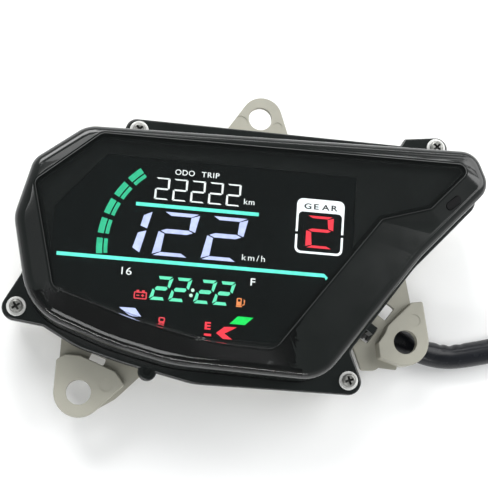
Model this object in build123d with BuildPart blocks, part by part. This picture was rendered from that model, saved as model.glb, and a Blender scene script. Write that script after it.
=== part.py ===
from build123d import *
import math
import os

# Digital instrument cluster of a scooter, lying on its back: the display looks along +Z and its
# upper edge is towards +Y. The origin is the centre of the footprint, on the resting plane.
# Lengths are in millimetres. An outline is a list of (x, y, corner radius).

os.makedirs("parts", exist_ok=True)

# ---- heights above the resting plane ----
FLOOR_T = 2.5  # rear housing's back wall
WEB_Z = 16.0  # underside of the lug webs and of the housing's wide rim
WEB_T = 3.0
LUG_PAD_Z = 26.0  # front face of the two raised lug pads
LUG_PAD_T = 4.5
RIM_Z = 23.7  # sealing rim of the rear housing
FLANGE_Z = 24.5  # underside of the front frame's flange
FLANGE_TOP = 28.0
GROOVE_Z = 26.2  # floor of the lens groove
LENS_FOOT_Z = 26.9
BOARD_Z = 34.3  # underside of the circuit board
BOARD_T = 1.6
FRAME_WALL_TOP = 46.0
GLASS_Z = 46.9  # back of the display glass
GLASS_T = 2.8
MASK_Z = 49.9
MASK_T = 1.2
SHOULDER_Z = 53.5  # outer edge of the lens facets
FACET_TOP_Z = 56.8
PLATEAU_Z = 58.0  # flat front of the lens

# ---- walls and fits ----
LENS_T = 2.2
SHOULDER_R = 4.4
SHELL_T = 2.5
TUB_INSET = 7.0  # narrow lower tub, inside the lens outline
WALL_OUT = 3.2  # outer and inner face of the frame's upright wall, inside the lens outline
WALL_IN = 5.2
LUG_HOLE_R = 5.5
SCREW_R = 2.0
SCREW_HEAD_R = 4.3
BOARD_SCREW_R = 1.3
POST_R = 3.2

# ---- outlines ----
LENS = [
    (-102.9, 5.5, 15), (-96.9, 31.2, 9), (-75.4, 48.2, 14), (98.9, 53.1, 10), (106.4, 37.0, 9),
    (75.8, 2.6, 40), (35.0, -55.0, 18), (-30.0, -53.1, 80), (-58.0, -46.9, 80), (-93.2, -34.3, 27),
]
PLATEAU = [
    (-95.4, 20.3, 4), (-68.4, 43.9, 5), (97.7, 45.2, 3.6), (77.9, 23.3, 0.8), (56.3, 16.6, 1.5),
    (12.6, -44.0, 7), (-16.0, -42.9, 80), (-48.0, -36.0, 80), (-83.5, -25.0, 5),
]
FLANGE = [
    (-103.7, 5.6, 14.5), (-97.6, 31.9, 9), (-76.1, 49.8, 13.5), (-60.2, 50.5, 2.5), (-57.0, 59.5, 5),
    (69.8, 58.8, 0.8), (71.5, 62.2, 1.2), (91.9, 65.0, 5.4), (92.2, 54.1, 1.5), (99.6, 53.9, 9),
    (108.0, 34.2, 8), (78.6, 1.0, 40), (51.0, -39.0, 3), (60.1, -58.9, 6), (-19.0, -59.3, 30),
    (-50.0, -52.8, 60), (-71.5, -47.2, 40), (-87.4, -38.8, 4), (-109.4, -36.2, 6), (-98.7, -15.5, 3),
]
TOP_LUG = [(-17.0, 52.0, 1), (6.6, 89.5, 9.6), (20.9, 52.0, 1)]
LEFT_PAD = [(-80.2, -52.8, 1.2), (-76.4, -50.1, 1.2), (-70.0, -50.1, 3), (-53.8, -56.1, 1.5),
            (-49.3, -61.8, 0.8), (-80.2, -93.3, 11)]
LEFT_WEB = [(-79.0, -36.0, 1), (-79.0, -66.0, 6), (-66.5, -77.0, 5), (-52.8, -68.0, 8),
            (-41.8, -56.2, 2.5), (-42.5, -38.0, 1)]
RIGHT_PAD = [(78.8, -14.3, 1.5), (84.0, -13.4, 1), (91.4, -48.7, 11.5), (65.3, -41.0, 1),
             (64.1, -34.0, 1.5), (66.9, -29.6, 2), (68.2, -25.8, 2.5)]
RIGHT_WEB = [(55.0, -10.0, 1), (75.5, 3.0, 1), (77.5, -4.5, 2), (79.9, -14.0, 2), (78.0, -30.0, 3),
             (70.0, -42.0, 3), (64.5, -46.3, 3), (58.4, -46.7, 1.5), (53.0, -34.0, 1), (45.0, -25.0, 1)]
RIGHT_GUSSET = [(62.7, -44.8, 0.5), (64.9, -40.4, 0.5), (74.0, -40.4, 0.5), (75.0, -45.4, 1)]
GLASS = [(-88, -22, 0.8), (-88, 12, 0.8), (-66, 38, 0.8), (47, 38, 0.8), (47, -10, 0.8),
         (20, -42.5, 0.8), (-30, -42.5, 0.8), (-62, -34, 0.8)]

# ---- places: (x, y) or (x, y, turn in degrees) ----
EAR_SCREWS = [(-52.4, 54.0, 40), (86.4, 59.1, 47), (50.7, -52.5, 20), (-99.7, -31.0, 35)]
BOSS = (-39.9, -55.2)  # round boss at the frame's lower edge, with a blind dimple
LUG_HOLES = [(3.9, 67.6), (-69.2, -66.4), (76.7, -32.8)]  # top, left, right
SLOTS = [(-62.2, -51.0, -18, 7.2, 3.4), (68.3, -18.6, 56, 7.2, 5.2), (60.9, -29.5, 56, 8.8, 4.2)]
SNAP = SLOTS[2]  # the slot that the front frame's snap hook passes through
EJECTOR_MARKS = [  # x, y, face height, radius of the moulding marks on the lug faces
    (-5.2, 64.8, WEB_Z + WEB_T, 3.3), (12.2, 64.3, WEB_Z + WEB_T, 2.3),
    (-57.6, -62.4, LUG_PAD_Z, 2.9), (80.3, -22.6, LUG_PAD_Z, 2.9),
]
MARK_DEPTH = 0.25
POSTS = [(-92, 6), (-70, -33), (26, -40), (66, 34), (-76, 33)]  # board posts
VENT = (-30.0, 10.0)
RIB_ENDS = [(-50.0, 38.0), (82.0, 38.0), (34.0, -38.0), (-84.0, -22.0)]  # one for each ear
LABEL = (36.0, 12.0)  # shallow blank recess in the back

# ---- mode button ----
BUTTON = (88.6, 27.6)
BUTTON_TURN = 41.6  # along the lens facet's edge
BUTTON_LENGTH, BUTTON_WIDTH = 7.7, 3.1
BUTTON_TRAVEL = 0.8
BUTTON_GAP = 0.3
BUTTON_FLANGE_Z = 49.6
SWITCH = (87.1, 28.9)
SWITCH_SIDE = 6.0
SWITCH_H = 3.6
PLUNGER_TOP = 41.0
FACET_OUT = (math.cos(math.radians(BUTTON_TURN - 90)), math.sin(math.radians(BUTTON_TURN - 90)))
FACET_SLOPE = 22.0  # degrees, where the button is

# ---- cable ----
CABLE_R = 5.8
CABLE_EXIT = (50.4, -21.1, 9.0)  # where the lead's axis crosses the tub wall
CABLE_TURN = -19.0
AXIS = Vector(math.cos(math.radians(CABLE_TURN)), math.sin(math.radians(CABLE_TURN)), 0)
RELIEF_LENGTH = 16.8  # from the wall to the tip of the strain relief
ROUTE = [
    Vector(*CABLE_EXIT) + AXIS * RELIEF_LENGTH,
    Vector(*CABLE_EXIT) + AXIS * (RELIEF_LENGTH + 12.5), (89.6, -35.2, 7.0),
    (101.7, -36.5, 5.95), (113.7, -34.1, CABLE_R), (126.2, -30.8, CABLE_R),
    (137.7, -24.7, CABLE_R), (147.4, -16.1, CABLE_R), (154.9, -5.4, CABLE_R),
    (159.8, 6.7, CABLE_R), (162.1, 19.5, CABLE_R), (162.1, 32.5, CABLE_R),
]
WIRE_R = 0.8
WIRE_PITCH = 2.1
WIRE_LENGTH = 12.0
PLUG_SIZE = (14.0, 2 * CABLE_R, 24.0)


def outline(corners, grow=0.0):
    """A filled outline with rounded corners, grown (or shrunk) by a distance."""
    with BuildSketch() as shape:
        with BuildLine():
            FilletPolyline(
                *[(x, y) for x, y, r in corners], radius=[r for x, y, r in corners], close=True
            )
        make_face()
        if grow:
            offset(amount=grow, kind=Kind.ARC)
    return shape.sketch


def ring(corners, outer, inner):
    """The band between two grown copies of one outline."""
    return outline(corners, outer) - outline(corners, inner)


def circles(places, radius):
    """Equal discs at several places."""
    with BuildSketch() as shape:
        with Locations(*[(p[0], p[1]) for p in places]):
            Circle(radius)
    return shape.sketch


def oblong(place, length, width, turn):
    """A slot shape with round ends."""
    with BuildSketch() as shape:
        with Locations((place[0], place[1])):
            SlotOverall(length, width, rotation=turn)
    return shape.sketch


def chip(place, z, body, lead_rows, leads, pitch, span):
    """A moulded package hanging under the board, with its rows of flat leads."""
    with BuildPart() as package:
        with Locations((place[0], place[1], z - 0.15)):
            Box(*body, align=(Align.CENTER, Align.CENTER, Align.MAX))
        for turn in range(0, 90 * lead_rows, 90):
            across = Vector(0, span).rotate(Axis.Z, turn if lead_rows > 1 else 0)
            for side in (-1, 1):
                with Locations(Location((place[0] + side * across.X, place[1] + side * across.Y,
                                         z - 0.3), (0, 0, turn))):
                    with GridLocations(pitch, 1, leads, 1):
                        Box(pitch * 0.45, 1.6, 0.6)
        split(bisect_by=Plane.XY.offset(z), keep=Keep.BOTTOM)
    return package.part


def save(node, name):
    """Label a finished piece and write its STEP file."""
    node.part.label = name
    export_step(node.part, f"parts/{name}.step")


def lens_form(inset):
    """The lens's solid outer form, or the hollow inside it when inset by the wall thickness."""
    with BuildPart() as form:
        with BuildSketch(Plane.XY.offset(LENS_FOOT_Z)):
            add(outline(LENS, -inset))
        extrude(amount=SHOULDER_Z - inset - LENS_FOOT_Z)
        if not inset:
            fillet(form.edges().group_by(Axis.Z)[-1], SHOULDER_R)
        with BuildSketch(Plane.XY.offset(SHOULDER_Z - inset)):
            add(outline(LENS, -SHOULDER_R - inset))
        with BuildSketch(Plane.XY.offset(FACET_TOP_Z - inset)):
            add(outline(PLATEAU, 0.8 - inset))
        loft(ruled=True)
        with BuildSketch(Plane.XY.offset(FACET_TOP_Z - inset)):
            add(outline(PLATEAU, -inset))
        extrude(amount=PLATEAU_Z - FACET_TOP_Z)
        if not inset:
            chamfer(form.edges().group_by(Axis.Z)[-1], 0.4)
    return form.part


# ---- front: lens, frame and what seals them ----
with BuildPart() as lens:
    add(lens_form(0))
    add(lens_form(LENS_T), mode=Mode.SUBTRACT)
    with BuildSketch(Plane.XY.offset(MASK_Z)):
        add(oblong(BUTTON, BUTTON_LENGTH + 2 * BUTTON_GAP, BUTTON_WIDTH + 2 * BUTTON_GAP, BUTTON_TURN))
    extrude(amount=PLATEAU_Z - MASK_Z, mode=Mode.SUBTRACT)
save(lens, "lens")

with BuildPart() as front_frame:
    with BuildSketch(Plane.XY.offset(FLANGE_Z)):
        add(outline(FLANGE))
        add(circles([BOSS], 4.2))
    extrude(amount=FLANGE_TOP - FLANGE_Z)
    fillet(front_frame.edges().group_by(Axis.Z)[-1], 0.9)
    with BuildSketch(Plane.XY.offset(FLANGE_Z)):
        add(outline(LENS, -WALL_IN))
    extrude(amount=FLANGE_TOP - FLANGE_Z, mode=Mode.SUBTRACT)
    with BuildSketch(Plane.XY.offset(GROOVE_Z)):
        add(ring(LENS, 0.4, 0.4 - WALL_OUT))
    extrude(amount=FLANGE_TOP - GROOVE_Z, mode=Mode.SUBTRACT)
    with BuildSketch(Plane.XY.offset(FLANGE_Z - 4)):
        add(ring(LENS, -WALL_OUT, -WALL_IN))
    extrude(amount=FRAME_WALL_TOP - FLANGE_Z + 4)
    with BuildSketch(Plane.XY.offset(FLANGE_Z)):
        add(circles(EAR_SCREWS, SCREW_R + 0.3))
    extrude(amount=FLANGE_TOP - FLANGE_Z, mode=Mode.SUBTRACT)
    with BuildSketch(Plane.XY.offset(FLANGE_TOP)):
        add(circles([BOSS], 1.8))
    extrude(amount=-1.6, mode=Mode.SUBTRACT)
    snap_plane = Plane(origin=(SNAP[0], SNAP[1], FLANGE_Z), z_dir=(0, 0, 1)).rotated((0, 0, SNAP[2]))
    with BuildSketch(snap_plane):
        with Locations((1.2, 2.0)):
            Rectangle(3.6, 5.8)
    extrude(amount=2)
    with BuildSketch(snap_plane):
        with Locations((1.2, 0.2)):
            Rectangle(3.6, 2.2)
    extrude(amount=WEB_Z + 1 - FLANGE_Z)
save(front_frame, "front_frame")

with BuildPart() as lens_gasket:
    with BuildSketch(Plane.XY.offset(GROOVE_Z)):
        add(ring(LENS, 0.3, -LENS_T - 0.3))
    extrude(amount=LENS_FOOT_Z - GROOVE_Z)
save(lens_gasket, "lens_gasket")

with BuildPart() as housing_gasket:
    with BuildSketch(Plane.XY.offset(RIM_Z)):
        add(ring(LENS, 0.2, -2.3))
    extrude(amount=FLANGE_Z - RIM_Z)
save(housing_gasket, "housing_gasket")

# ---- rear housing with its three mounting lugs ----
with BuildPart() as rear_housing:
    with BuildSketch():
        add(outline(LENS, -TUB_INSET))
    extrude(amount=WEB_Z + SHELL_T)
    fillet(rear_housing.edges().group_by(Axis.Z)[0], 3.0)
    with BuildSketch(Plane.XY.offset(WEB_Z)):
        add(outline(FLANGE, -1.2))
    extrude(amount=RIM_Z - WEB_Z)
    with BuildSketch(Plane.XY.offset(WEB_Z)):
        add(outline(LEFT_WEB))
        add(outline(RIGHT_WEB))
        add(outline(TOP_LUG))
    extrude(amount=WEB_T)
    with BuildSketch(Plane.XY.offset(WEB_Z)):
        for x, y, turn, length, width in SLOTS:
            with Locations((x, y)):
                RectangleRounded(length, width, 0.8, rotation=turn)
    extrude(amount=RIM_Z - WEB_Z, mode=Mode.SUBTRACT)
    with BuildSketch(Plane.XY.offset(WEB_Z)):
        add(outline(LEFT_PAD))
        add(outline(RIGHT_PAD))
    extrude(amount=LUG_PAD_Z - WEB_Z)
    fillet(rear_housing.edges().group_by(Axis.Z)[-1], 0.6)
    with BuildSketch(Plane.XY.offset(WEB_Z)):
        add(outline(LEFT_PAD, -2.2))
        add(outline(RIGHT_PAD, -2.2))
    extrude(amount=LUG_PAD_Z - LUG_PAD_T - WEB_Z, mode=Mode.SUBTRACT)
    with BuildSketch(Plane.XY.offset(WEB_Z + WEB_T)):
        add(outline(RIGHT_GUSSET))
    extrude(amount=4, taper=20)
    with BuildSketch(Plane.XY.offset(WEB_Z)):
        add(circles(LUG_HOLES, LUG_HOLE_R))
    extrude(amount=LUG_PAD_Z - WEB_Z, mode=Mode.SUBTRACT)
    with BuildSketch(Plane.XY.offset(WEB_Z - 8)):
        for (x, y, turn), (u, v) in zip(EAR_SCREWS, RIB_ENDS):
            with Locations(((x + u) / 2, (y + v) / 2)):
                Rectangle(math.dist((x, y), (u, v)), 1.8, rotation=math.degrees(math.atan2(v - y, u - x)))
    extrude(amount=8)
    with BuildSketch(Plane.XY.offset(FLOOR_T)):
        add(outline(LENS, -TUB_INSET - SHELL_T))
    extrude(amount=WEB_Z, mode=Mode.SUBTRACT)
    with BuildSketch(Plane.XY.offset(WEB_Z + SHELL_T)):
        add(outline(LENS, -2.6))
    extrude(amount=RIM_Z - WEB_Z - SHELL_T, mode=Mode.SUBTRACT)
    with BuildSketch(Plane.XY.offset(WEB_Z - 8)):
        add(circles(EAR_SCREWS, SCREW_R + 2.2))
    extrude(amount=8)
    with BuildSketch(Plane.XY.offset(WEB_Z - 6)):
        add(circles(EAR_SCREWS, SCREW_R))
    extrude(amount=RIM_Z - WEB_Z + 6, mode=Mode.SUBTRACT)
    with BuildSketch(Plane.XY.offset(FLOOR_T - 0.5)):
        add(circles(POSTS, POST_R))
    extrude(amount=BOARD_Z - FLOOR_T + 0.5)
    with BuildSketch(Plane.XY.offset(BOARD_Z - 9)):
        add(circles(POSTS, BOARD_SCREW_R))
    extrude(amount=9, mode=Mode.SUBTRACT)
    with BuildSketch(Plane(origin=CABLE_EXIT, z_dir=AXIS)):
        Circle(5.1)
    extrude(amount=5, both=True, mode=Mode.SUBTRACT)
    with BuildSketch():
        add(circles([VENT], 3.05))
    extrude(amount=FLOOR_T, mode=Mode.SUBTRACT)
    with BuildSketch():
        with Locations(LABEL):
            RectangleRounded(44, 20, 1)
    extrude(amount=0.3, mode=Mode.SUBTRACT)
    for x, y, z, radius in EJECTOR_MARKS:
        with BuildSketch(Plane.XY.offset(z)):
            add(circles([(x, y)], radius))
        extrude(amount=-MARK_DEPTH, mode=Mode.SUBTRACT)
save(rear_housing, "rear_housing")

with BuildPart() as vent_plug:
    with BuildSketch(Plane.XY.offset(0.4)):
        add(circles([VENT], 3.0))
    extrude(amount=FLOOR_T - 0.4)
    with BuildSketch(Plane.XY.offset(FLOOR_T)):
        add(circles([VENT], 4.4))
    extrude(amount=1.2)
save(vent_plug, "vent_plug")

# ---- washer-head screws through the four ears ----
with BuildPart() as case_screws:
    with BuildSketch(Plane.XY.offset(FLANGE_TOP)):
        add(circles(EAR_SCREWS, SCREW_HEAD_R))
    extrude(amount=0.9)
    fillet(case_screws.edges().group_by(Axis.Z)[-1], 0.3)
    with BuildSketch(Plane.XY.offset(FLANGE_TOP + 0.9)):
        add(circles(EAR_SCREWS, SCREW_HEAD_R - 1.2))
    extrude(amount=2.1)
    fillet(case_screws.edges().group_by(Axis.Z)[-1], 1.1)
    with BuildSketch(Plane.XY.offset(WEB_Z - 4)):
        add(circles(EAR_SCREWS, SCREW_R - 0.05))
    extrude(amount=FLANGE_TOP - WEB_Z + 4)
    with BuildSketch(Plane.XY.offset(FLANGE_TOP + 3)):
        for x, y, turn in EAR_SCREWS:
            with Locations((x, y)):
                Rectangle(4.0, 1.0, rotation=turn)
                Rectangle(1.0, 4.0, rotation=turn)
    extrude(amount=-1.9, mode=Mode.SUBTRACT)
save(case_screws, "case_screws")

# ---- display stack ----
with BuildPart() as display_mask:
    with BuildSketch(Plane.XY.offset(MASK_Z)):
        add(outline(LENS, -WALL_OUT))
        add(outline(GLASS, -2.0), mode=Mode.SUBTRACT)
        add(oblong(BUTTON, BUTTON_LENGTH + 3.4, BUTTON_WIDTH + 3.4, BUTTON_TURN), mode=Mode.SUBTRACT)
    extrude(amount=MASK_T)
    with BuildSketch(Plane.XY.offset(FRAME_WALL_TOP)):
        add(ring(LENS, -WALL_OUT, -WALL_OUT - 1.0))
    extrude(amount=MASK_Z - FRAME_WALL_TOP)
save(display_mask, "display_mask")

with BuildPart() as lcd_panel:
    with BuildSketch(Plane.XY.offset(GLASS_Z)):
        add(outline(GLASS))
    extrude(amount=GLASS_T)
save(lcd_panel, "lcd_panel")

with BuildPart() as diffuser_film:
    with BuildSketch(Plane.XY.offset(GLASS_Z - 0.5)):
        add(outline(GLASS, -3.6))
    extrude(amount=0.4)
save(diffuser_film, "diffuser_film")

with BuildPart() as light_box:
    with BuildSketch(Plane.XY.offset(BOARD_Z + BOARD_T)):
        add(ring(GLASS, -3.6, -5.2))
    extrude(amount=GLASS_Z - 0.6 - BOARD_Z - BOARD_T)
    with BuildSketch(Plane.XY.offset(BOARD_Z + BOARD_T)):
        with Locations((12, 14), (-20, -24)):
            Rectangle(1.4, 16)
        with Locations((-22, -12)):
            Rectangle(60, 1.4)
    extrude(amount=GLASS_Z - 0.6 - BOARD_Z - BOARD_T)
save(light_box, "light_box")

with BuildPart() as contact_strips:
    with BuildSketch(Plane.XY.offset(BOARD_Z + BOARD_T)):
        with Locations((-8, 36.0)):
            Rectangle(92, 2.0)
        with Locations((-5, -40.6)):
            Rectangle(42, 2.0)
    extrude(amount=GLASS_Z - BOARD_Z - BOARD_T)
save(contact_strips, "contact_strips")

# ---- circuit board and its components ----
with BuildPart() as circuit_board:
    with BuildSketch(Plane.XY.offset(BOARD_Z)):
        add(outline(LENS, -WALL_IN - 1.0))
        add(circles(POSTS, BOARD_SCREW_R + 0.3), mode=Mode.SUBTRACT)
    extrude(amount=BOARD_T)
save(circuit_board, "circuit_board")

with BuildPart() as board_screws:
    with BuildSketch(Plane.XY.offset(BOARD_Z + BOARD_T)):
        add(circles(POSTS, 2.7))
    extrude(amount=1.9)
    fillet(board_screws.edges().group_by(Axis.Z)[-1], 0.8)
    with BuildSketch(Plane.XY.offset(BOARD_Z - 7)):
        add(circles(POSTS, BOARD_SCREW_R - 0.05))
    extrude(amount=7 + BOARD_T)
    with BuildSketch(Plane.XY.offset(BOARD_Z + BOARD_T + 1.9)):
        with Locations(*POSTS):
            Rectangle(3.2, 0.8)
            Rectangle(0.8, 3.2)
    extrude(amount=-1.2, mode=Mode.SUBTRACT)
save(board_screws, "board_screws")

with BuildPart() as microcontroller:
    add(chip((-20, 6), BOARD_Z, (12, 12, 1.4), 2, 12, 0.9, 6.6))
save(microcontroller, "microcontroller")

with BuildPart() as memory_chip:
    add(chip((-44, 8), BOARD_Z, (5, 4, 1.5), 1, 4, 1.27, 2.6))
save(memory_chip, "memory_chip")

with BuildPart() as voltage_regulator:
    add(chip((42, 4), BOARD_Z, (6.6, 6.2, 2.3), 1, 3, 2.3, 3.7))
save(voltage_regulator, "voltage_regulator")

with BuildPart() as capacitors:
    with BuildSketch(Plane.XY.offset(BOARD_Z)):
        with Locations((54, 10), (54, 19), (32, 18)):
            Circle(3.15)
    extrude(amount=-6.4)
    fillet(capacitors.edges().group_by(Axis.Z)[0], 0.5)
save(capacitors, "capacitors")

with BuildPart() as crystal:
    with BuildSketch(Plane.XY.offset(BOARD_Z)):
        with Locations((-20, 22)):
            SlotOverall(11, 4.6)
    extrude(amount=-3.4)
    fillet(crystal.edges().group_by(Axis.Z)[0], 0.5)
save(crystal, "crystal")

with BuildPart() as backlight_leds:
    with BuildSketch(Plane.XY.offset(BOARD_Z + BOARD_T)):
        with Locations((-25, 12)):
            with GridLocations(15, 22, 5, 2):
                RectangleRounded(3.5, 2.8, 0.3)
        with Locations((30, 14)):
            with GridLocations(16, 22, 2, 2):
                RectangleRounded(3.5, 2.8, 0.3)
    extrude(amount=1.9)
save(backlight_leds, "backlight_leds")

with BuildPart() as indicator_leds:
    with BuildSketch(Plane.XY.offset(BOARD_Z + BOARD_T)):
        with Locations((-50, -26), (-36, -30), (-12, -30), (-2, -28), (12, -26)):
            RectangleRounded(3.2, 1.6, 0.2)
    extrude(amount=1.1)
save(indicator_leds, "indicator_leds")

with BuildPart() as board_header:
    with BuildSketch(Plane.XY.offset(BOARD_Z)):
        with Locations((16, -10)):
            RectangleRounded(18, 7, 0.6)
    extrude(amount=-9)
    with BuildSketch(Plane.XY.offset(BOARD_Z - 9)):
        with Locations((16, -10)):
            Rectangle(16, 5)
    extrude(amount=7.5, mode=Mode.SUBTRACT)
save(board_header, "board_header")

with BuildPart() as header_plug:
    with BuildSketch(Plane.XY.offset(BOARD_Z - 14)):
        with Locations((16, -10)):
            RectangleRounded(15.4, 4.4, 0.5)
    extrude(amount=12)
    with BuildSketch(Plane.XY.offset(BOARD_Z - 14)):
        with Locations((16, -10)):
            RectangleRounded(18, 7, 0.6)
    extrude(amount=4)
save(header_plug, "header_plug")

# ---- mode button, its switch and the plunger it pushes ----
with BuildPart() as mode_button:
    with BuildSketch(Plane.XY.offset(PLUNGER_TOP)):
        add(circles([SWITCH], 2.0))
    extrude(amount=BUTTON_FLANGE_Z - PLUNGER_TOP)
    with BuildSketch(Plane.XY.offset(BUTTON_FLANGE_Z)):
        add(oblong(BUTTON, BUTTON_LENGTH + 2, BUTTON_WIDTH + 2, BUTTON_TURN))
    extrude(amount=1.0)
    with BuildSketch(Plane.XY.offset(BUTTON_FLANGE_Z + 1)):
        add(oblong(BUTTON, BUTTON_LENGTH, BUTTON_WIDTH, BUTTON_TURN))
    extrude(amount=PLATEAU_Z - BUTTON_FLANGE_Z - 1)
    tilt = math.radians(FACET_SLOPE)
    face = (FACET_OUT[0] * math.sin(tilt), FACET_OUT[1] * math.sin(tilt), math.cos(tilt))
    split(bisect_by=Plane(origin=(*BUTTON, 55.3), z_dir=face), keep=Keep.BOTTOM)
save(mode_button, "mode_button")

with BuildPart() as tact_switch:
    with BuildSketch(Plane.XY.offset(BOARD_Z + BOARD_T)):
        with Locations(SWITCH):
            Rectangle(SWITCH_SIDE, SWITCH_SIDE, rotation=BUTTON_TURN)
    extrude(amount=SWITCH_H)
    with BuildSketch(Plane.XY.offset(BOARD_Z + BOARD_T + 0.5)):
        add(circles([SWITCH], 1.8))
    extrude(amount=SWITCH_H, mode=Mode.SUBTRACT)
save(tact_switch, "tact_switch")

with BuildPart() as switch_plunger:
    with BuildSketch(Plane.XY.offset(BOARD_Z + BOARD_T + 0.5 + BUTTON_TRAVEL + 0.2)):
        add(circles([SWITCH], 1.7))
    extrude(amount=PLUNGER_TOP - BOARD_Z - BOARD_T - 0.7 - BUTTON_TRAVEL)
save(switch_plunger, "switch_plunger")

# ---- cable: strain relief, sleeve, wires and plug ----
with BuildPart() as cable_grommet:
    with BuildSketch(Plane(origin=Vector(*CABLE_EXIT) - AXIS * 6.6, z_dir=AXIS)):
        Circle(6.1)
    extrude(amount=2.0)
    with BuildSketch(Plane(origin=Vector(*CABLE_EXIT) - AXIS * 4.6, z_dir=AXIS)):
        Circle(5.05)
    extrude(amount=6.6)
    with BuildSketch(Plane(origin=Vector(*CABLE_EXIT) + AXIS * 2.0, z_dir=AXIS)):
        Circle(6.6)
    with BuildSketch(Plane(origin=Vector(*CABLE_EXIT) + AXIS * RELIEF_LENGTH, z_dir=AXIS)):
        Circle(CABLE_R + 0.3)
    loft()
save(cable_grommet, "cable_grommet")

with BuildPart() as inner_wires:
    across = Vector(-AXIS.Y, AXIS.X, 0)
    for i in range(6):
        high = -1.1 if i % 2 == 0 else 1.1
        side = (i // 2 - 1) * 2.2
        start = Vector(9.75 + 2.5 * i, -10, BOARD_Z - 14)
        elbow = Vector(start.X, start.Y, CABLE_EXIT[2] + high)
        end = Vector(*CABLE_EXIT) - AXIS * 6.6 + across * side + Vector(0, 0, high)
        with BuildLine():
            FilletPolyline(start, elbow, end - AXIS * 8, end, radius=2.5)
        with BuildSketch(Plane(origin=start, z_dir=(0, 0, -1))):
            Circle(0.6)
        sweep()
save(inner_wires, "inner_wires")

turns = []
for before, corner, after in zip(ROUTE, ROUTE[1:], ROUTE[2:]):
    run_in = Vector(corner) - Vector(before)
    run_out = Vector(after) - Vector(corner)
    half = math.radians(run_in.get_angle(run_out)) / 2
    turns.append(0.45 * min(run_in.length, run_out.length) / math.tan(half))
print("cable arc radii:", [round(radius, 1) for radius in turns])

with BuildPart() as cable_sleeve:
    with BuildLine() as route:
        FilletPolyline(*ROUTE, radius=turns)
    with BuildSketch(Plane(origin=ROUTE[0], z_dir=Vector(ROUTE[1]) - Vector(ROUTE[0]))):
        Circle(CABLE_R)
    sweep()
cable_length = sum(edge.length for edge in route.line.edges())
print("cable length:", round(cable_length, 1), "volume over section x length:",
      round(cable_sleeve.part.volume / (math.pi * CABLE_R**2 * cable_length), 4))
save(cable_sleeve, "cable_sleeve")

run_end = (Vector(ROUTE[-1]) - Vector(ROUTE[-2])).normalized()
sleeve_end = Plane(origin=ROUTE[-1], z_dir=run_end, x_dir=Vector(run_end.Y, -run_end.X, 0))
plug_back = sleeve_end.offset(WIRE_LENGTH)

with BuildPart() as harness_wires:
    with BuildSketch(sleeve_end):
        with GridLocations(WIRE_PITCH, WIRE_PITCH, 4, 3):
            Circle(WIRE_R)
    extrude(amount=WIRE_LENGTH)
save(harness_wires, "harness_wires")

with BuildPart() as harness_connector:
    with BuildSketch(plug_back):
        RectangleRounded(PLUG_SIZE[0], PLUG_SIZE[1], 0.8)
    extrude(amount=PLUG_SIZE[2])
    with BuildSketch(plug_back.offset(PLUG_SIZE[2])):
        RectangleRounded(PLUG_SIZE[0] - 3, PLUG_SIZE[1] - 2.6, 0.6)
    extrude(amount=-10, mode=Mode.SUBTRACT)
    with BuildSketch(plug_back.offset(PLUG_SIZE[2] - 4)):
        for side in (-1, 1):
            with Locations((side * (PLUG_SIZE[0] / 2 + 0.5), 0)):
                Rectangle(1.2, 4)
    extrude(amount=-12)
save(harness_connector, "harness_connector")

with BuildPart() as connector_terminals:
    with BuildSketch(plug_back.offset(PLUG_SIZE[2] - 10)):
        with GridLocations(WIRE_PITCH, WIRE_PITCH, 4, 3):
            Rectangle(0.9, 0.9)
    extrude(amount=4.5)
save(connector_terminals, "connector_terminals")
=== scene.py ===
import math

import bmesh
import bpy
from mathutils import Matrix, Vector


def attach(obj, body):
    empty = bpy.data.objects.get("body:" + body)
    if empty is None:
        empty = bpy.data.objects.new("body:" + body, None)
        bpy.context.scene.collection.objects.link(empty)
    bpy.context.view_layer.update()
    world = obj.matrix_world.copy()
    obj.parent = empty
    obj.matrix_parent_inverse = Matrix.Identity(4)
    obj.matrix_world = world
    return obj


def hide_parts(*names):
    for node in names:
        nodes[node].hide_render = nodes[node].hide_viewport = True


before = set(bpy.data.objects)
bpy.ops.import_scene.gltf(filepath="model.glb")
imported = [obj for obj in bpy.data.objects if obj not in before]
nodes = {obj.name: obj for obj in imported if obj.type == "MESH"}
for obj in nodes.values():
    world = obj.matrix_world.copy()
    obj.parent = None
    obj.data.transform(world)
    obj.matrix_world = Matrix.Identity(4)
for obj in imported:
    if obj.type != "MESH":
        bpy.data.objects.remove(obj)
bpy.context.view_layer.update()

# A scooter's digital instrument cluster, lying on its back. The CAD frame carries the case, the
# lens, the plug and everything inside; this script adds the lit display, the cable and its wires,
# the finishes and the studio. Blender's lengths are in metres; MM turns millimetres into metres.
MM = 0.001

# Places on the CAD parts, in millimetres.
DISPLAY_Z = 49.80  # the lit layer, just above the display glass
WINDOW_Z = 58.0  # outer and inner face of the lens's flat window
WINDOW_BACK_Z = 55.8
FACET_Z = 50.0  # the facets are above this height
WASHER_Z = 28.9  # top of the case screws' washers
HEAD_Z = 31.0
SCREWS = [(-52.4, 54.0, 40), (86.4, 59.1, 47), (50.7, -52.5, 20), (-99.7, -31.0, 35)]  # x, y, turn

scene = bpy.context.scene


# ---------------------------------------------------------------- camera
def add_camera():
    place = Vector((-0.0589, -0.0916, 0.5780))
    aim = Vector((-0.0039, 0.0004, 0.0580))
    turn = math.radians(3.95)
    ahead = (aim - place).normalized()
    right = ahead.cross(Vector((0, 1, 0))).normalized()
    up = right.cross(ahead)
    x = right * math.cos(turn) + up * math.sin(turn)
    y = up * math.cos(turn) - right * math.sin(turn)
    camera = bpy.data.objects.new("camera", bpy.data.cameras.new("camera"))
    camera.data.sensor_width = 36
    camera.data.lens = 91.1
    camera.data.clip_start = 0.01
    scene.collection.objects.link(camera)
    camera.matrix_world = Matrix.Translation(place) @ Matrix((x, y, -ahead)).transposed().to_4x4()
    scene.camera = camera


add_camera()


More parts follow.
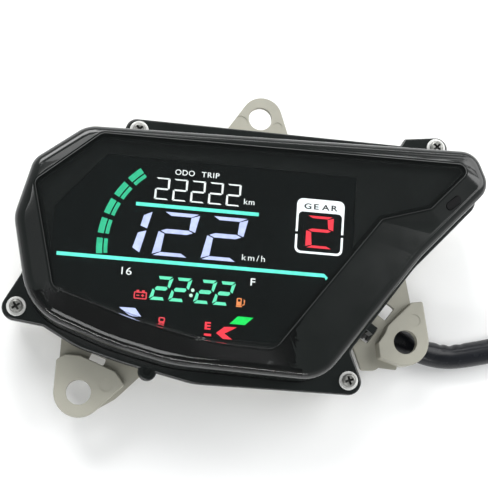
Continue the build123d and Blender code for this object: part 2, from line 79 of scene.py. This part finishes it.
# ---------------------------------------------------------------- finishes
def add_node(tree, kind, **inputs):
    """A shader node with some of its inputs set; a socket as a value is linked."""
    made = tree.nodes.new(kind)
    for key, value in inputs.items():
        socket = made.inputs[key.replace("_", " ")]
        if isinstance(value, bpy.types.NodeSocket):
            tree.links.new(value, socket)
        else:
            socket.default_value = value
    return made


def noise(tree, scale, detail=3.0, stretch=None):
    """Noise over the object's own coordinates, in metres; scale is features per metre."""
    place = tree.nodes.new("ShaderNodeTexCoord").outputs["Object"]
    if stretch:
        place = add_node(tree, "ShaderNodeMapping", Vector=place, Scale=stretch).outputs["Vector"]
    made = add_node(tree, "ShaderNodeTexNoise", Vector=place, Scale=scale, Detail=detail)
    return made.outputs["Fac"]


def ramp(tree, fac, stops):
    """A colour ramp through (position, colour) stops."""
    made = add_node(tree, "ShaderNodeValToRGB", Fac=fac)
    made.color_ramp.elements[0].position = stops[0][0]
    made.color_ramp.elements[0].color = (*stops[0][1], 1)
    made.color_ramp.elements[1].position = stops[-1][0]
    made.color_ramp.elements[1].color = (*stops[-1][1], 1)
    for position, color in stops[1:-1]:
        made.color_ramp.elements.new(position).color = (*color, 1)
    return made.outputs["Color"]


def spread(tree, fac, low, high):
    """A noise value turned into a range, such as a roughness from low to high."""
    made = add_node(tree, "ShaderNodeMapRange", Value=fac, From_Min=0.3, From_Max=0.7)
    made.inputs["To Min"].default_value = low
    made.inputs["To Max"].default_value = high
    return made.outputs["Result"]


def finish(name, color, rough=(0.3, 0.4), vary=0.12, patch=60, grain=900, bump=0.05, depth=0.00005,
           stretch=None, metallic=0.0, **sockets):
    """A moulded or metal finish: mottled colour, uneven roughness and a fine surface grain."""
    made = bpy.data.materials.new(name)
    made.use_nodes = True
    tree = made.node_tree
    shader = tree.nodes["Principled BSDF"]
    dark = [c * (1 - vary) for c in color]
    light = [min(1, c * (1 + vary)) for c in color]
    tree.links.new(ramp(tree, noise(tree, patch), [(0.35, dark), (0.65, light)]),
                   shader.inputs["Base Color"])
    tree.links.new(spread(tree, noise(tree, patch * 4), rough[0], rough[1]), shader.inputs["Roughness"])
    if bump:
        height = add_node(tree, "ShaderNodeBump", Height=noise(tree, grain, 2.0, stretch),
                          Strength=bump, Distance=depth)
        tree.links.new(height.outputs["Normal"], shader.inputs["Normal"])
    shader.inputs["Metallic"].default_value = metallic
    for key, value in sockets.items():
        shader.inputs[key.replace("_", " ")].default_value = value
    return made


def lit(name, color, strength, dim=0.82):
    """A lit display segment, a little uneven like a backlit film."""
    made = bpy.data.materials.new(name)
    made.use_nodes = True
    tree = made.node_tree
    shader = tree.nodes["Principled BSDF"]
    low = [c * dim for c in color]
    tree.links.new(ramp(tree, noise(tree, 450), [(0.35, low), (0.65, color)]),
                   shader.inputs["Emission Color"])
    shader.inputs["Emission Strength"].default_value = strength
    shader.inputs["Base Color"].default_value = (0.01, 0.01, 0.01, 1)
    shader.inputs["Roughness"].default_value = 0.5
    return made


black_gloss = finish("black_gloss", (0.010, 0.012, 0.0115), (0.10, 0.17), grain=1500, bump=0.02)
black_matt = finish("black_matt", (0.012, 0.013, 0.013), (0.38, 0.5), grain=2500, bump=0.12)
grey_case = finish("grey_case", (0.36, 0.35, 0.295), (0.42, 0.55), vary=0.05, grain=2600, bump=0.22)
gasket_rubber = finish("gasket_rubber", (0.016, 0.016, 0.016), (0.55, 0.7), grain=1800, bump=0.2)
steel = finish("steel", (0.66, 0.66, 0.64), (0.2, 0.34), vary=0.1, patch=300, grain=1600,
               bump=0.12, stretch=(1, 5, 1), metallic=1.0)
washer_zinc = finish("washer_zinc", (0.74, 0.74, 0.72), (0.3, 0.42), vary=0.08, patch=500, grain=2200,
                     bump=0.1, metallic=0.25)
# The screw's domed head is painted darker than its washer and its cross recess nearly black: painted shade
# on the one steel of the screw.
dome_steel_painted_shade = finish("dome_steel_painted_shade", (0.26, 0.26, 0.245), (0.28, 0.42), vary=0.35, patch=900, grain=2500,
                    bump=0.3, metallic=0.5)
recess_painted_shade = finish("recess_painted_shade", (0.035, 0.035, 0.033), (0.5, 0.6), vary=0.3, patch=900, metallic=0.6)
sleeve_vinyl = finish("sleeve_vinyl", (0.009, 0.010, 0.013), (0.2, 0.3), patch=45, grain=1400, bump=0.1,
                      Specular_IOR_Level=0.3)
relief_rubber = finish("relief_rubber", (0.014, 0.014, 0.015), (0.45, 0.6), grain=1600, bump=0.2)
nylon = finish("nylon", (0.70, 0.69, 0.62), (0.35, 0.48), vary=0.05, grain=1800, bump=0.1,
               Subsurface_Weight=0.1)
brass = finish("brass", (0.78, 0.62, 0.34), (0.2, 0.35), vary=0.1, patch=400, metallic=1.0)
board_green = finish("board_green", (0.015, 0.11, 0.045), (0.25, 0.4), vary=0.25, patch=220, grain=700)
chip_black = finish("chip_black", (0.022, 0.022, 0.024), (0.5, 0.65), grain=3500, bump=0.25)
can_metal = finish("can_metal", (0.72, 0.72, 0.73), (0.18, 0.3), vary=0.08, patch=500, metallic=1.0)
white_mould = finish("white_mould", (0.74, 0.74, 0.70), (0.4, 0.55), vary=0.04, grain=2000)
film_white = finish("film_white", (0.8, 0.8, 0.78), (0.5, 0.6), vary=0.03, grain=3000)
led_body = finish("led_body", (0.75, 0.68, 0.32), (0.3, 0.4), vary=0.2, patch=900)
contact_rubber = finish("contact_rubber", (0.42, 0.30, 0.36), (0.5, 0.6), vary=0.3, patch=2500,
                        stretch=(1, 1, 30))
display_glass = finish("display_glass", (0.006, 0.009, 0.010), (0.04, 0.08), vary=0.4, patch=25, bump=0)
lens_paint = finish("lens_paint", (0.008, 0.0095, 0.009), (0.13, 0.18), patch=25, bump=0)
# The mode button is painted extra dark with little sheen: a black button that also carries a painted dark
# reflection.
button_black_painted_reflection = finish("button_black_painted_reflection", (0.003, 0.003, 0.0035), (0.5, 0.62), grain=2200, bump=0.15,
                      Specular_IOR_Level=0.2)


def smoked_glass(name, clear):
    """A smoke-tinted moulding with a polished face; clear is how much light one face lets through."""
    made = bpy.data.materials.new(name)
    made.use_nodes = True
    tree = made.node_tree
    shader = tree.nodes["Principled BSDF"]
    stops = [(0.3, (clear * 0.95, clear, clear * 0.98)), (0.7, (clear * 1.05, clear * 1.1, clear * 1.08))]
    tree.links.new(ramp(tree, noise(tree, 18), stops), shader.inputs["Base Color"])
    tree.links.new(spread(tree, noise(tree, 90), 0.012, 0.035), shader.inputs["Roughness"])
    height = add_node(tree, "ShaderNodeBump", Height=noise(tree, 55, 1.0), Strength=0.02, Distance=0.0004)
    tree.links.new(height.outputs["Normal"], shader.inputs["Normal"])
    shader.inputs["Transmission Weight"].default_value = 1.0
    shader.inputs["IOR"].default_value = 1.49
    return made


smoked_lens = smoked_glass("smoked_lens", 0.54)
smoked_facet = smoked_glass("smoked_facet", 0.22)


def wire_colours():
    """Twelve vinyl colours for the loom."""
    colors = [(0.5, 0.02, 0.02), (0.02, 0.02, 0.02), (0.02, 0.2, 0.05), (0.6, 0.45, 0.02),
              (0.02, 0.06, 0.4), (0.6, 0.6, 0.58), (0.25, 0.1, 0.03), (0.6, 0.2, 0.02),
              (0.2, 0.2, 0.22), (0.05, 0.3, 0.35), (0.35, 0.05, 0.25), (0.5, 0.02, 0.02)]
    return [finish(f"wire_vinyl_{i + 1}", color, (0.3, 0.42), patch=200) for i, color in enumerate(colors)]


def clean_shading(obj, angle=28):
    """Even shading for a CAD mesh: flat faces stay flat and rounded edges stay smooth."""
    obj.modifiers.new("weld", "WELD").merge_threshold = 2e-6
    split = obj.modifiers.new("split", "EDGE_SPLIT")
    split.split_angle = math.radians(angle)
    normals = obj.modifiers.new("normals", "WEIGHTED_NORMAL")
    normals.weight = 100
    normals.keep_sharp = True


FINISHES = {
    "lens": smoked_lens, "front_frame": black_gloss, "rear_housing": grey_case,
    "lens_gasket": gasket_rubber, "housing_gasket": gasket_rubber, "case_screws": steel,
    "display_mask": black_matt, "lcd_panel": display_glass, "diffuser_film": film_white,
    "light_box": white_mould, "contact_strips": contact_rubber, "circuit_board": board_green,
    "board_screws": steel, "microcontroller": chip_black, "memory_chip": chip_black,
    "voltage_regulator": chip_black, "capacitors": can_metal, "crystal": can_metal,
    "backlight_leds": led_body, "indicator_leds": led_body, "board_header": white_mould,
    "header_plug": nylon, "inner_wires": sleeve_vinyl, "mode_button": button_black_painted_reflection,
    "tact_switch": chip_black, "switch_plunger": black_matt, "vent_plug": gasket_rubber,
    "cable_grommet": relief_rubber, "cable_sleeve": sleeve_vinyl, "harness_wires": sleeve_vinyl,
    "harness_connector": nylon, "connector_terminals": brass,
}
for name, obj in nodes.items():
    obj.data.materials.clear()
    obj.data.materials.append(FINISHES[name])
    clean_shading(obj)


# ---------------------------------------------------------------- mesh helpers
def add_mesh(name, bm, materials, body="cluster", smooth=False):
    """A finished bmesh becomes a piece that rides on a body."""
    mesh = bpy.data.meshes.new(name)
    bm.to_mesh(mesh)
    bm.free()
    obj = bpy.data.objects.new(name, mesh)
    scene.collection.objects.link(obj)
    for one in materials:
        mesh.materials.append(one)
    if smooth:
        mesh.shade_smooth()
    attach(obj, body)
    return obj


def frames_along(points):
    """A direction and a steady sideways vector at each point of a path."""
    ahead = [(points[min(i + 1, len(points) - 1)] - points[max(i - 1, 0)]).normalized()
             for i in range(len(points))]
    side = Vector((0, 0, 1)).cross(ahead[0]).normalized()
    result = []
    for direction in ahead:
        side = (side - direction * side.dot(direction)).normalized()
        result.append((direction, side, direction.cross(side)))
    return result


def add_tube(bm, points, radius, around=24, material=0, caps=True):
    """A round tube along points; radius is a length or a function of (index, angle)."""
    rings = []
    for i, (point, (ahead, side, up)) in enumerate(zip(points, frames_along(points))):
        ring = []
        for k in range(around):
            angle = 2 * math.pi * k / around
            r = radius(i, angle) if callable(radius) else radius
            ring.append(bm.verts.new(point + (side * math.cos(angle) + up * math.sin(angle)) * r))
        rings.append(ring)
    for low, high in zip(rings, rings[1:]):
        for k in range(around):
            face = bm.faces.new((low[k], low[(k + 1) % around], high[(k + 1) % around], high[k]))
            face.material_index = material
    if caps:
        bm.faces.new(rings[0][::-1]).material_index = material
        bm.faces.new(rings[-1]).material_index = material
    return rings


# ---------------------------------------------------------------- lens and case screws
def zoned_copy(node, name, materials, zone):
    """A CAD mesh with a finish for each zone takes its node's place; zone picks from materials."""
    mesh = nodes[node].data.copy()
    mesh.name = name
    mesh.materials.clear()
    for one in materials:
        mesh.materials.append(one)
    for face in mesh.polygons:
        face.material_index = zone(face.center / MM, face.normal)
    obj = bpy.data.objects.new(name, mesh)
    scene.collection.objects.link(obj)
    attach(obj, "cluster")
    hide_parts(node)
    merge = obj.modifiers.new("merge", "DECIMATE")
    merge.decimate_type = "DISSOLVE"
    merge.angle_limit = math.radians(2.5)
    merge.delimit = {"MATERIAL"}
    clean_shading(obj)


def lens_zone(middle, normal):
    """Painted sides, a clear window, and lower facets that stay see-through."""
    in_window = middle.z > WINDOW_Z - 0.1 or abs(middle.z - WINDOW_BACK_Z) < 0.1
    if in_window and abs(normal.z) > 0.999:
        return 1
    if middle.z > FACET_Z and middle.y < -26 and middle.x < 22 and abs(normal.z) > 0.5:
        return 2
    return 0


def screw_zone(middle, normal):
    """A bright washer; the domed head painted darker and the cross recess painted dark, as painted shade.
    """
    x, y, turn = min(SCREWS, key=lambda one: (middle.x - one[0]) ** 2 + (middle.y - one[1]) ** 2)
    out = math.hypot(middle.x - x, middle.y - y)
    angle = math.atan2(middle.y - y, middle.x - x) - math.radians(turn)
    in_cross = min(abs(out * math.sin(angle)), abs(out * math.cos(angle))) < 0.52 and out < 2.02
    on_top = middle.z > HEAD_Z - 0.15 and normal.z > 0.9
    if in_cross and WASHER_Z + 0.05 < middle.z < HEAD_Z - 0.05 and not on_top:
        return 2
    if middle.z > WASHER_Z - 0.02 and out < 3.2:
        return 1
    return 0


zoned_copy("lens", "window_lens", (lens_paint, smoked_lens, smoked_facet), lens_zone)
zoned_copy("case_screws", "washer_screws", (washer_zinc, dome_steel_painted_shade, recess_painted_shade),
           screw_zone)


# ---------------------------------------------------------------- cable
SLEEVE_R = 5.8 * MM
RELIEF_TURN = math.radians(-19)
RELIEF_AXIS = Vector((math.cos(RELIEF_TURN), math.sin(RELIEF_TURN), 0))
CABLE_EXIT = Vector((50.4, -21.1, 9.0)) * MM
RELIEF_TIP = CABLE_EXIT + RELIEF_AXIS * 16.8 * MM
ROUTE = [RELIEF_TIP, CABLE_EXIT + RELIEF_AXIS * 29.3 * MM] + [Vector(p) * MM for p in (
    (89.6, -35.2, 7.0), (101.7, -36.5, 5.95), (113.7, -34.1, 5.8), (126.2, -30.8, 5.8),
    (137.7, -24.7, 5.8), (147.4, -16.1, 5.8), (154.9, -5.4, 5.8), (159.8, 6.7, 5.8),
    (162.1, 19.5, 5.8), (162.1, 32.5, 5.8),
)]


def route_points():
    """Points read from the smooth line of the route."""
    curve = bpy.data.curves.new("cable_route", "CURVE")
    curve.dimensions = "3D"
    spline = curve.splines.new("NURBS")
    spline.points.add(len(ROUTE) - 1)
    for point, place in zip(spline.points, ROUTE):
        point.co = (*place, 1)
    spline.order_u = 3
    spline.use_endpoint_u = True
    spline.resolution_u = 24
    guide = bpy.data.objects.new("cable_route", curve)
    scene.collection.objects.link(guide)
    line = bpy.data.meshes.new_from_object(guide)
    points = [v.co.copy() for v in line.vertices]
    bpy.data.objects.remove(guide)
    bpy.data.meshes.remove(line)
    return points


def add_cable():
    points = route_points()
    run = [0.0]
    for a, b in zip(points, points[1:]):
        run.append(run[-1] + (b - a).length)
    creases = [  # place along the cable, width and depth, in mm
        (24.5, 2.2, 0.55), (33.0, 1.7, 0.5), (38.5, 2.3, 0.75), (44.5, 1.6, 0.35),
        (63.0, 2.4, 0.35), (78.0, 2.6, 0.4), (92.0, 2.3, 0.3),
    ]

    def radius(i, angle):
        """Full round, with creases pressed into the inside of the bend."""
        inside = max(0.0, math.cos(angle))
        press = sum(depth * math.exp(-((run[i] / MM - at) / width) ** 2) for at, width, depth in creases)
        return SLEEVE_R - press * MM * inside ** 2

    bm = bmesh.new()
    rings = add_tube(bm, points, radius, around=40, caps=False)
    bm.faces.new(rings[0][::-1])
    ahead, side, up = frames_along(points)[-1]
    mouth = [points[-1] - ahead * depth * MM for depth in (0.0, 0.3, 6.0)]
    inner = []
    for place, r in zip(mouth, (5.35, 5.15, 5.15)):
        inner.append([bm.verts.new(place + (side * math.cos(2 * math.pi * k / 40)
                                            + up * math.sin(2 * math.pi * k / 40)) * r * MM)
                      for k in range(40)])
    for low, high in zip([rings[-1]] + inner, inner):
        for k in range(40):
            bm.faces.new((low[k], low[(k + 1) % 40], high[(k + 1) % 40], high[k]))
    bm.faces.new(inner[-1])
    cable = add_mesh("cable", bm, [sleeve_vinyl], smooth=True)
    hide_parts("cable_sleeve")
    return cable, points, run[-1]


def add_relief():
    """The ribbed strain relief, turned about the cable's axis."""
    profile = [(-6.6, 0.0), (-6.6, 6.1), (-4.6, 6.1), (-4.6, 5.05), (2.0, 5.05), (2.0, 6.55), (3.4, 6.5)]
    for i in range(4):
        start = 3.6 + i * 3.0
        crest = 6.55 - 0.024 * (start - 2)
        profile += [(start, crest), (start + 0.2, crest - 0.75), (start + 1.2, crest - 0.8),
                    (start + 1.4, crest - 0.05), (start + 2.8, crest - 0.08)]
    profile += [(16.2, 6.1), (16.8, 5.9), (16.8, 0.0)]
    bm = bmesh.new()
    up = Vector((0, 0, 1))
    side = up.cross(RELIEF_AXIS)
    count = 40
    rings = []
    for along, r in profile:
        middle = CABLE_EXIT + RELIEF_AXIS * along * MM
        if r == 0:
            rings.append([bm.verts.new(middle)] * count)
            continue
        rings.append([bm.verts.new(middle + (side * math.cos(2 * math.pi * k / count)
                                             + up * math.sin(2 * math.pi * k / count)) * r * MM)
                      for k in range(count)])
    for low, high in zip(rings, rings[1:]):
        for k in range(count):
            corners = [low[k], low[(k + 1) % count], high[(k + 1) % count], high[k]]
            bm.faces.new(list(dict.fromkeys(corners)))
    relief = add_mesh("strain_relief", bm, [relief_rubber])
    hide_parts("cable_grommet")
    bevel = relief.modifiers.new("bevel", "BEVEL")
    bevel.width = 0.15 * MM
    bevel.segments = 2
    relief.data.shade_smooth()


def add_loom_wires():
    """Twelve coloured wires from the sleeve's mouth to the plug."""
    bm = bmesh.new()
    end = ROUTE[-1]
    for row in range(3):
        for column in range(4):
            i = row * 4 + column
            x, z = (column - 1.5) * 2.1, (row - 1) * 2.1
            points = []
            for step in range(15):
                t = step / 14
                bow = math.sin(math.pi * t) * (0.25 + 0.2 * math.sin(2.4 * i))
                squeeze = 1.0 - 0.08 * (1 - t)
                points.append(end + Vector((x * squeeze + bow * math.cos(1.7 * i), -5 + 17.6 * t,
                                            z * squeeze + bow * math.sin(1.7 * i))) * MM)
            add_tube(bm, points, 0.78 * MM, around=12, material=i)
    wires = add_mesh("loom_wires", bm, wire_colours(), smooth=True)
    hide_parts("harness_wires")
    return wires


cable, cable_path, cable_length = add_cable()
add_relief()
loom_wires = add_loom_wires()


# ---------------------------------------------------------------- display
class Layer:
    """Flat lit shapes of one colour on the display, given in millimetres."""

    def __init__(self, name, color, strength, lift=0.0):
        self.name, self.color, self.strength = name, color, strength
        self.z = (DISPLAY_Z + lift) * MM
        self.bm = bmesh.new()

    def shape(self, *corners):
        verts = [self.bm.verts.new((x * MM, y * MM, self.z)) for x, y in corners]
        face = self.bm.faces.new(verts)
        face.normal_update()
        if face.normal.z < 0:
            face.normal_flip()

    def block(self, x0, y0, x1, y1):
        self.shape((x0, y0), (x1, y0), (x1, y1), (x0, y1))

    def disc(self, x, y, r, count=20):
        self.shape(*[(x + r * math.cos(2 * math.pi * k / count), y + r * math.sin(2 * math.pi * k / count))
                     for k in range(count)])

    def strip(self, outer, inner):
        """A band between two matching open outlines."""
        for (a, b), (c, d) in zip(zip(outer, outer[1:]), zip(inner, inner[1:])):
            self.shape(a, b, d, c)

    def arc_block(self, center, r0, r1, start, stop, steps=6):
        """Part of a ring; angles in degrees, counted up from the left."""
        points = [math.radians(start + (stop - start) * k / steps) for k in range(steps + 1)]
        inner, outer = [[(center[0] - r * math.cos(a), center[1] + r * math.sin(a)) for a in points]
                        for r in (r0, r1)]
        self.strip(outer, inner)

    def text(self, body, x, y, height, widen=1.0, bold=0.0, space=1.0):
        """Plain lettering with its lower left corner at (x, y)."""
        curve = bpy.data.curves.new("lettering", "FONT")
        curve.body = body
        curve.size = height * MM / 0.73
        curve.space_character = space
        curve.offset = bold * MM
        holder = bpy.data.objects.new("lettering", curve)
        scene.collection.objects.link(holder)
        mesh = bpy.data.meshes.new_from_object(holder)
        low = min(v.co.x for v in mesh.vertices)
        for v in mesh.vertices:
            v.co = ((v.co.x - low) * widen + x * MM, v.co.y + y * MM, self.z)
        self.bm.from_mesh(mesh)
        bpy.data.objects.remove(holder)
        bpy.data.meshes.remove(mesh)
        bpy.data.curves.remove(curve)

    def digit(self, segments, x, y, w, h, tv, th, middle, slant=0.0, gap=0.2):
        """Seven-segment strokes; the box's lower left corner is at (x, y)."""
        m, hm = middle, th * 0.62
        strokes = {
            "a": [(gap * 2, h), (w - gap * 2, h), (w - tv, h - th), (tv, h - th)],
            "b": [(w, h - gap * 2), (w, m + gap), (w - tv * 0.82, m + hm + gap), (w - tv, h - th - gap)],
            "c": [(w, m - gap), (w, gap * 2), (w - tv, th + gap), (w - tv * 0.82, m - hm - gap)],
            "d": [(gap * 2, 0), (tv, th), (w - tv, th), (w - gap * 2, 0)],
            "e": [(0, gap * 2), (0, m - gap), (tv * 0.82, m - hm - gap), (tv, th + gap)],
            "f": [(0, m + gap), (0, h - gap * 2), (tv, h - th - gap), (tv * 0.82, m + hm + gap)],
            "g": [(gap * 3, m), (tv * 0.95, m + hm), (w - tv * 0.95, m + hm), (w - gap * 3, m),
                  (w - tv * 0.95, m - hm), (tv * 0.95, m - hm)],
        }
        for one in segments:
            self.shape(*[(x + u + v * slant, y + v) for u, v in strokes[one]])

    def done(self):
        return add_mesh(self.name, self.bm, [lit(self.name, self.color, self.strength)])


def rounded_path(x0, y0, x1, y1, r, steps=6):
    """A rounded rectangle's outline, counter-clockwise from its lower right."""
    points = []
    for cx, cy, start in ((x1 - r, y0 + r, -90), (x1 - r, y1 - r, 0), (x0 + r, y1 - r, 90),
                          (x0 + r, y0 + r, 180)):
        for k in range(steps + 1):
            a = math.radians(start + 90 * k / steps)
            points.append((cx + r * math.cos(a), cy + r * math.sin(a)))
    return points


TWO = "abged"  # the strokes of a 2


def draw_display():
    white = Layer("display_white", (0.97, 0.99, 1.0), 2.4)
    white.text("ODO", -35.4, 29.8, 2.5, 1.04, 0.02, 1.08)
    white.text("TRIP", -23.8, 29.8, 2.45, 1.08, 0.02, 1.14)
    for i in range(5):
        white.digit(TWO, -43.8 + 7.84 * i, 18.1, 6.3, 9.75, 0.95, 0.6, 4.75, 0.03, 0.12)
    white.text("km", -4.4, 19.4, 2.6, 1.08, 0.02, 1.14)
    white.text("16", -55.1, -16.0, 3.4, 1.24, -0.02)
    white.text("F", 0.9, -16.2, 3.3, 1.15, 0.05)
    white.text("km/h", -3.6, -5.4, 2.75, 1.12, 0.0, 1.32)
    white.shape((41.4, -2.0), (42.3, -1.7), (44.0, 0.7), (44.2, 1.4), (43.0, 0.9), (41.6, -0.9))
    white.done()

    gear = Layer("gear_box", (0.93, 0.96, 1.0), 2.9)
    outer = rounded_path(19.2, 0.0, 40.5, 24.5, 2.6)
    inner = rounded_path(20.15, 0.95, 39.55, 18.6, 1.9)
    gear.strip([(40.5, 8.2)] + outer[6::-1] + outer[:20:-1] + [(19.2, 8.2)],
               [(39.55, 8.2)] + inner[6::-1] + inner[:20:-1] + [(20.15, 8.2)])
    gear.strip([(40.5, 9.5)] + outer[7:21] + [(19.2, 9.5)],
               [(39.55, 9.5)] + inner[7:21] + [(20.15, 9.5)])
    gear.done()

    cyan = Layer("display_cyan", (0.13, 0.84, 0.66), 2.7)
    cyan.block(-51.3, 14.55, 2.5, 16.15)
    cyan.shape((-83.3, -10.0), (33.3, -10.0), (33.0, -8.4), (-83.3, -8.4))
    cyan.shape((33.3, -10.0), (34.4, -12.3), (35.8, -11.1), (33.0, -8.4))
    cyan.done()

    bars = Layer("display_bars", (0.035, 0.50, 0.27), 2.5)
    for i in range(5):
        start = -6.4 + 12.0 * i
        bars.arc_block((-22.65, -3.0), 41.6, 44.2, start, start + 9.1)
        bars.arc_block((-22.65, -3.0), 39.4, 41.0, start + 0.2, start + 9.1)
    bars.done()

    speed = Layer("display_speed", (0.55, 0.60, 0.96), 2.6)
    for x in (-42.9, -21.7):
        speed.digit(TWO, x, -6.5, 15.7, 19.4, 3.4, 1.55, 10.95, 0.215, 0.28)
    speed.shape((-43.9, 12.3), (-45.7, 4.9), (-48.6, 5.9), (-47.5, 10.6))
    speed.shape((-49.5, 2.7), (-45.9, 3.9), (-48.2, -5.9), (-51.3, -4.0))
    speed.shape((-54.8, -30.2), (-47.9, -30.1), (-45.1, -33.6), (-49.6, -34.0))
    speed.done()

    clock = Layer("display_clock", (0.14, 0.78, 0.48), 2.6)
    for x in (-42.6, -34.4, -23.6, -15.4):
        clock.digit(TWO, x, -25.9, 7.1, 10.5, 1.5, 1.35, 5.15, 0.3, 0.28)
    clock.done()
    colon = Layer("display_colon", (0.62, 0.95, 0.75), 2.6)
    colon.disc(-23.9, -20.4, 0.75)
    colon.disc(-24.5, -22.7, 0.75)
    colon.done()

    red = Layer("display_red", (0.95, 0.045, 0.07), 2.6)
    red.digit(TWO, 23.9, 2.7, 12.0, 14.3, 2.7, 1.05, 7.9, 0.0, 0.3)
    red.text("E", -17.6, -36.7, 3.2, 1.3, 0.14)
    red.block(-17.7, -39.6, -14.6, -38.6)
    red.shape((-12.5, -38.0), (-9.1, -35.1), (-3.7, -34.9), (-8.9, -38.0))
    red.shape((-12.5, -38.0), (-8.9, -38.0), (-5.4, -40.3), (-9.4, -40.3))
    red.done()

    icons = Layer("display_warning", (0.80, 0.06, 0.08), 2.4)
    outer = rounded_path(-49.0, -26.1, -43.4, -22.9, 0.5, 3)
    inner = rounded_path(-48.5, -25.6, -43.9, -23.4, 0.2, 3)
    icons.strip(outer + outer[:1], inner + inner[:1])
    icons.block(-48.0, -22.9, -46.8, -22.2)
    icons.block(-45.6, -22.9, -44.4, -22.2)
    icons.block(-47.9, -24.75, -46.6, -24.3)
    icons.block(-45.9, -24.75, -44.5, -24.3)
    icons.block(-45.4, -25.2, -45.0, -23.85)
    outer = rounded_path(-37.6, -35.3, -34.8, -33.1, 0.6, 3)
    inner = rounded_path(-37.0, -34.8, -35.4, -33.6, 0.3, 3)
    icons.strip(outer + outer[:1], inner + inner[:1])
    icons.shape((-38.6, -37.4), (-37.2, -35.3), (-35.0, -35.3), (-35.4, -37.9), (-36.0, -37.9),
                (-36.3, -36.4))
    icons.done()

    fuel = Layer("display_fuel", (0.95, 0.30, 0.10), 2.3)
    fuel.block(-4.8, -26.0, -2.2, -25.5)
    fuel.block(-4.6, -25.4, -2.4, -23.8)
    outer = rounded_path(-4.6, -23.9, -2.4, -22.1, 0.4, 3)
    inner = rounded_path(-4.1, -23.7, -2.9, -22.6, 0.2, 3)
    fuel.strip(outer + outer[:1], inner + inner[:1])
    fuel.shape((-2.1, -24.9), (-2.1, -25.4), (-1.1, -25.0), (-0.9, -23.2), (-1.6, -22.4), (-1.5, -23.3),
               (-1.4, -24.7))
    fuel.done()

    green = Layer("display_green", (0.01, 0.80, 0.12), 2.4)
    green.shape((-3.6, -30.1), (3.2, -30.2), (-0.3, -33.6), (-7.0, -33.6))
    green.done()

    letters = Layer("gear_letters", (0.02, 0.022, 0.03), 0.02, lift=0.04)
    for letter, x in (("G", 22.45), ("E", 26.75), ("A", 30.25), ("R", 34.55)):
        letters.text(letter, x, 19.95, 2.5, 1.38, 0.09)
    letters.done()


draw_display()


# ---------------------------------------------------------------- studio
def add_floor():
    bm = bmesh.new()
    bmesh.ops.create_grid(bm, x_segments=2, y_segments=2, size=3.0)
    mesh = bpy.data.meshes.new("floor")
    bm.to_mesh(mesh)
    bm.free()
    floor = bpy.data.objects.new("floor", mesh)
    floor.location.z = -0.0002
    mesh.materials.append(finish("floor_paper", (0.97, 0.97, 0.97), (0.75, 0.85), vary=0.006, patch=3,
                                 grain=500, bump=0.02))
    scene.collection.objects.link(floor)


def add_light(name, place, aim, size, power):
    light = bpy.data.lights.new(name, "AREA")
    light.shape = "RECTANGLE"
    light.size, light.size_y = size
    light.energy = power
    holder = bpy.data.objects.new(name, light)
    holder.location = place
    holder.rotation_euler = (Vector(aim) - Vector(place)).to_track_quat("-Z", "Y").to_euler()
    scene.collection.objects.link(holder)


def add_sky():
    """A dim studio, brighter low down than overhead."""
    world = bpy.data.worlds.new("studio")
    scene.world = world
    world.use_nodes = True
    tree = world.node_tree
    place = tree.nodes.new("ShaderNodeTexCoord").outputs["Generated"]
    height = add_node(tree, "ShaderNodeSeparateXYZ", Vector=place).outputs["Z"]
    sky = ramp(tree, height, [(0.0, (0.80, 0.80, 0.80)), (0.3, (0.62, 0.63, 0.64)),
                              (0.75, (0.26, 0.27, 0.27)), (1.0, (0.17, 0.19, 0.19))])
    tree.links.new(sky, tree.nodes["Background"].inputs["Color"])
    tree.nodes["Background"].inputs["Strength"].default_value = 1.0


add_floor()
add_light("key", (0.95, 0.55, 0.90), (0, 0, 0.02), (1.1, 1.1), 14)
add_light("front", (-0.22, -0.46, 1.3), (0, 0, 0.02), (0.5, 0.5), 3.5)
add_light("fill", (-0.45, 0.95, 0.95), (0, 0, 0.02), (0.8, 0.6), 13)
add_light("low_strip", (-0.25, -1.05, 0.55), (0, 0, 0.03), (1.3, 0.10), 4)
add_light("top_strip", (0.05, 1.10, 0.62), (0, 0, 0.03), (1.3, 0.06), 3)
add_sky()
scene.view_settings.view_transform = "Standard"
